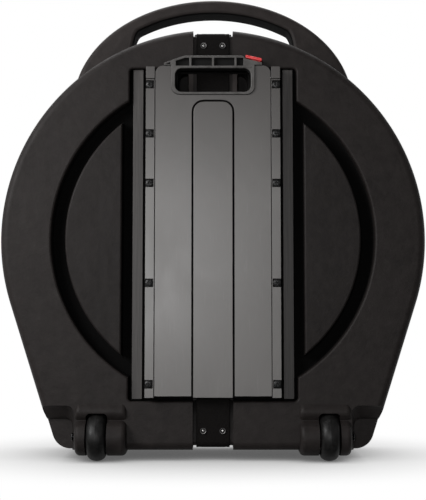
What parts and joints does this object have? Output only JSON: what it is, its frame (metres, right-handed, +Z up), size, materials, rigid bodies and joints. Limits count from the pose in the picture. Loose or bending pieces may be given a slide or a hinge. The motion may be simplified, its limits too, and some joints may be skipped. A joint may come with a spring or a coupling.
{
  "type": "cymbal case",
  "caption": "Round hard case for cymbals that stands on two built-in wheels, with a pull-out handle in its back, a carry arch on its front shell and a strap closure.",
  "frame": {"origin": "on the floor, under the middle of the whole case as it stands on its wheels and front feet", "axes": "+Z up, -Y out of the back with the pull handle, +Y out of the front shell, +X to the right seen from behind"},
  "size_m": [0.6898, 0.223, 0.7836],
  "materials": {
    "shell_plastic": "fine moulded grain, dark warm grey",
    "handle_plastic": "satin grey, lightly scuffed",
    "black_plastic": "satin black",
    "red_plastic": "red, slightly glossy",
    "webbing": "woven black webbing",
    "tyre_rubber": "black rubber",
    "steel": "zinc-plated steel",
    "black_steel": "blackened steel",
    "felt": "pressed grey felt",
    "foam": "charcoal foam with a knitted face"
  },
  "bodies": {
    "case": {"back_shell": "shell_plastic", "handle_tray": "handle_plastic", "rail_left": "handle_plastic", "rail_right": "handle_plastic", "rail_screw_left_1": "black_steel", "rail_screw_left_2": "black_steel", "rail_screw_left_3": "black_steel", "rail_screw_left_4": "black_steel", "rail_screw_left_5": "black_steel", "rail_screw_right_1": "black_steel", "rail_screw_right_2": "black_steel", "rail_screw_right_3": "black_steel", "rail_screw_right_4": "black_steel", "rail_screw_right_5": "black_steel", "handle_centre_tongue": "handle_plastic", "strap_back": "webbing", "rivet_back_1": "steel", "rivet_back_2": "steel", "rivet_back_3": "steel", "rivet_back_4": "steel", "buckle_housing": "black_plastic", "axle_left": "steel", "axle_right": "steel", "centre_post": "steel", "felt_lower": "felt", "foam_pad_back": "foam"},
    "pull_panel": {"handle_panel": "handle_plastic", "handle_grip": "black_plastic", "lever_pin": "steel", "bolt_spring": "steel"},
    "lever": {"release_lever": "red_plastic"},
    "bolt": {"lock_bolt": "steel"},
    "wheel_left": {"tyre_left": "tyre_rubber", "wheel_hub_left": "black_plastic", "bearing_left_inner": "steel", "bearing_left_outer": "steel"},
    "wheel_right": {"tyre_right": "tyre_rubber", "wheel_hub_right": "black_plastic", "bearing_right_inner": "steel", "bearing_right_outer": "steel"},
    "slider": {"buckle_slider": "black_plastic"},
    "clamp": {"felt_upper": "felt", "clamp_disc": "black_plastic"},
    "nut": {"wing_nut": "steel"},
    "lid": {"front_shell": "shell_plastic", "strap_front_upper": "webbing", "strap_front_lower": "webbing", "rivet_front_1": "steel", "rivet_front_2": "steel", "rivet_front_3": "steel", "rivet_front_4": "steel", "buckle_tongue": "black_plastic", "foam_pad_front": "foam", "foot_left": "tyre_rubber", "foot_right": "tyre_rubber", "foot_bolt_left": "steel", "foot_bolt_right": "steel"}
  },
  "joints": [
    {"name": "handle_slide", "type": "slide", "parent": "case", "child": "pull_panel", "axis": [0, 0, 1], "range_m": [0, 0.38]},
    {"name": "lever_press", "type": "hinge", "parent": "pull_panel", "child": "lever", "pos_m": [0.0615, -0.0891, 0.6394], "axis": [0, 1, 0], "range_deg": [0, 6.5]},
    {"name": "bolt_pull", "type": "slide", "parent": "pull_panel", "child": "bolt", "axis": [-1, 0, 0], "range_m": [0, 0.0021], "stiffness_N_per_m": 80, "springref_m": -0.002, "deforming": ["bolt_spring"]},
    {"name": "wheel_left_spin", "type": "hinge", "parent": "case", "child": "wheel_left", "pos_m": [-0.1855, -0.0735, 0.038], "axis": [1, 0, 0], "continuous": true},
    {"name": "wheel_right_spin", "type": "hinge", "parent": "case", "child": "wheel_right", "pos_m": [0.1855, -0.0735, 0.038], "axis": [1, 0, 0], "continuous": true},
    {"name": "lid_open", "type": "hinge", "parent": "case", "child": "lid", "pos_m": [0, 0.0165, 0.017], "axis": [-1, 0, 0], "range_deg": [0, 95]},
    {"name": "buckle_release", "type": "slide", "parent": "case", "child": "slider", "axis": [0, -1, 0], "range_m": [0, 0.008], "stiffness_N_per_m": 300, "springref_m": -0.002},
    {"name": "clamp_travel", "type": "slide", "parent": "case", "child": "clamp", "axis": [0, 1, 0], "range_m": [0, 0.06]},
    {"name": "nut_spin", "type": "hinge", "parent": "clamp", "child": "nut", "pos_m": [0, -0.03, 0.357], "axis": [0, 1, 0], "continuous": true}
  ],
  "couplings": [
    {"joint": "lever_press", "follows": "bolt_pull", "rad_per_m": 49.26}
  ]
}
